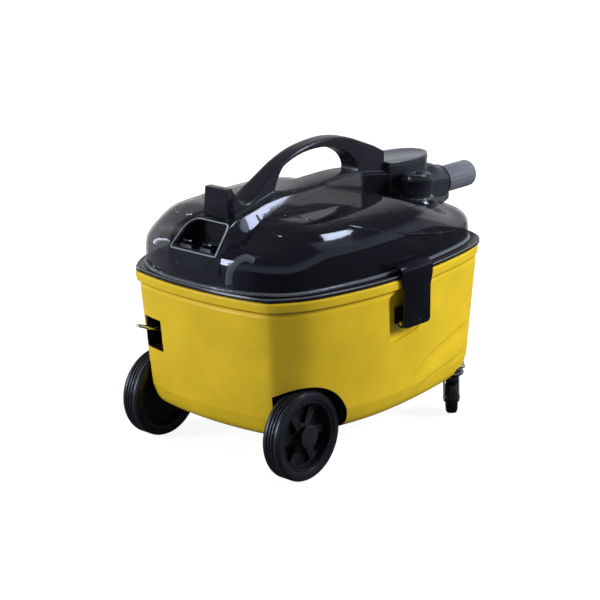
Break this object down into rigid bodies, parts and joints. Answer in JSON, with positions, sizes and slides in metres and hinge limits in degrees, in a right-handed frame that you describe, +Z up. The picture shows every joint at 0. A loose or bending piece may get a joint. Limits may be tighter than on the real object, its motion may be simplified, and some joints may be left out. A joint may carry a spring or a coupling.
{
  "type": "carpet cleaner",
  "caption": "Wheeled spray-extraction carpet cleaner with a tub, lift-off smoked lid, carrying handle, hose cuff, latches and casters.",
  "frame": {"origin": "centre of the footprint at floor level", "axes": "+X towards the hose cuff and the casters, +Y towards the machine's left side, +Z up"},
  "size_m": [0.6282, 0.392, 0.4339],
  "materials": {
    "yellow_shell": "moulded polyethylene, satin gloss",
    "black_gloss": "polished black moulding",
    "black_matte": "fine-grained black moulding",
    "smoked_clear": "smoked clear polycarbonate, polished",
    "tyre_rubber": "dull moulded tread",
    "seal_rubber": "dull",
    "bright_steel": "bright plated",
    "grey_plastic": "satin grey moulding",
    "white_plastic": "translucent white moulding",
    "brass": "machined",
    "clear_tube": "clear vinyl"
  },
  "bodies": {
    "root": {"tub": "yellow_shell", "wheel_axle": "bright_steel", "axle_clamp_right": "black_matte", "axle_clamp_left": "black_matte", "latch_bracket_right": "black_matte", "latch_bracket_left": "black_matte", "latch_pin_right": "bright_steel", "latch_pin_left": "bright_steel", "caster_plate_right": "bright_steel", "caster_plate_left": "bright_steel", "hook_pin": "bright_steel", "power_inlet": "black_matte", "inlet_terminals": "bright_steel", "spray_coupling": "brass", "coupling_nut": "brass", "solution_tank": "white_plastic", "recovery_tank": "white_plastic"},
    "lid": {"deck": "black_gloss", "rim_gasket": "seal_rubber", "hood": "black_gloss", "dome": "smoked_clear", "console_tray": "black_gloss", "handle": "black_gloss", "front_post": "black_matte", "separator_chamber": "smoked_clear", "chamber_lid": "smoked_clear", "float_cage": "grey_plastic", "down_pipe": "black_gloss", "cuff_collar": "black_matte", "pickup_tube": "clear_tube", "pickup_strainer": "grey_plastic", "fan_housing": "grey_plastic", "motor_gasket": "seal_rubber", "motor_can": "bright_steel", "pump": "grey_plastic"},
    "fan": {"fan_rotor": "bright_steel"},
    "float": {"float_ball": "white_plastic"},
    "cap_seal": {"cap_seal": "seal_rubber"},
    "filler_cap": {"filler_cap": "black_matte"},
    "hose_cuff": {"hose_cuff": "black_gloss"},
    "cord_hook": {"cord_hook": "bright_steel"},
    "latch_right": {"latch_right": "black_gloss"},
    "rocker_right": {"rocker_right": "black_gloss"},
    "wheel_right": {"tyre_right": "tyre_rubber", "wheel_rim_right": "black_matte", "hub_cap_right": "black_gloss"},
    "caster_fork_right": {"caster_fork_right": "grey_plastic", "caster_pin_right": "bright_steel"},
    "caster_wheel_right": {"caster_wheel_right": "tyre_rubber"},
    "latch_left": {"latch_left": "black_gloss"},
    "rocker_left": {"rocker_left": "black_gloss"},
    "wheel_left": {"tyre_left": "tyre_rubber", "wheel_rim_left": "black_matte", "hub_cap_left": "black_gloss"},
    "caster_fork_left": {"caster_fork_left": "grey_plastic", "caster_pin_left": "bright_steel"},
    "caster_wheel_left": {"caster_wheel_left": "tyre_rubber"}
  },
  "joints": [
    {"name": "lid_lift", "type": "slide", "parent": "root", "child": "lid", "axis": [0, 0, 1], "range_m": [0, 0.08]},
    {"name": "fan_spin", "type": "hinge", "parent": "lid", "child": "fan", "pos_m": [-0.10993, 0, 0.25], "axis": [0, 0, 1], "continuous": true},
    {"name": "float_rise", "type": "slide", "parent": "lid", "child": "float", "axis": [0, 0, 1], "range_m": [0, 0.016]},
    {"name": "cap_turn", "type": "hinge", "parent": "lid", "child": "cap_seal", "pos_m": [0.11007, -0.063, 0.347], "axis": [0, 0, 1], "range_deg": [0, 360]},
    {"name": "cap_rise", "type": "slide", "parent": "cap_seal", "child": "filler_cap", "axis": [0, 0, 1], "range_m": [0, 0.006]},
    {"name": "cuff_swivel", "type": "hinge", "parent": "lid", "child": "hose_cuff", "pos_m": [0.27007, 0, 0.319], "axis": [1, 0, 0], "continuous": true},
    {"name": "hook_fold", "type": "hinge", "parent": "root", "child": "cord_hook", "pos_m": [-0.26793, 0.1045, 0.175], "axis": [0, 1, 0], "range_deg": [-65, 8]},
    {"name": "latch_right_turn", "type": "hinge", "parent": "root", "child": "latch_right", "pos_m": [-0.05093, -0.1878, 0.1975], "axis": [1, 0, 0], "range_deg": [0, 100]},
    {"name": "rocker_right_tip", "type": "hinge", "parent": "lid", "child": "rocker_right", "pos_m": [-0.28093, -0.019, 0.3229], "axis": [0, -1, 0], "range_deg": [0, 18]},
    {"name": "wheel_right_spin", "type": "hinge", "parent": "root", "child": "wheel_right", "pos_m": [-0.23843, -0.1405, 0.065], "axis": [0, 1, 0], "continuous": true},
    {"name": "caster_right_swivel", "type": "hinge", "parent": "root", "child": "caster_fork_right", "pos_m": [0.12007, -0.124, 0.06], "axis": [0, 0, 1], "continuous": true},
    {"name": "caster_right_roll", "type": "hinge", "parent": "caster_fork_right", "child": "caster_wheel_right", "pos_m": [0.10892, -0.13404, 0.025], "axis": [-0.6691, 0.7431, 0], "continuous": true},
    {"name": "latch_left_turn", "type": "hinge", "parent": "root", "child": "latch_left", "pos_m": [-0.05093, 0.1878, 0.1975], "axis": [-1, 0, 0], "range_deg": [0, 100]},
    {"name": "rocker_left_tip", "type": "hinge", "parent": "lid", "child": "rocker_left", "pos_m": [-0.28093, 0.019, 0.3229], "axis": [0, -1, 0], "range_deg": [0, 18]},
    {"name": "wheel_left_spin", "type": "hinge", "parent": "root", "child": "wheel_left", "pos_m": [-0.23843, 0.1405, 0.065], "axis": [0, 1, 0], "continuous": true},
    {"name": "caster_left_swivel", "type": "hinge", "parent": "root", "child": "caster_fork_left", "pos_m": [0.12007, 0.124, 0.06], "axis": [0, 0, 1], "continuous": true},
    {"name": "caster_left_roll", "type": "hinge", "parent": "caster_fork_left", "child": "caster_wheel_left", "pos_m": [0.1058, 0.11936, 0.025], "axis": [-0.309, 0.9511, 0], "continuous": true}
  ],
  "couplings": [
    {"joint": "latch_right_turn", "follows": "lid_lift", "rad_per_m": 21.8},
    {"joint": "latch_left_turn", "follows": "lid_lift", "rad_per_m": 21.8},
    {"joint": "cap_rise", "follows": "cap_turn", "m_per_rad": 0.000954}
  ]
}
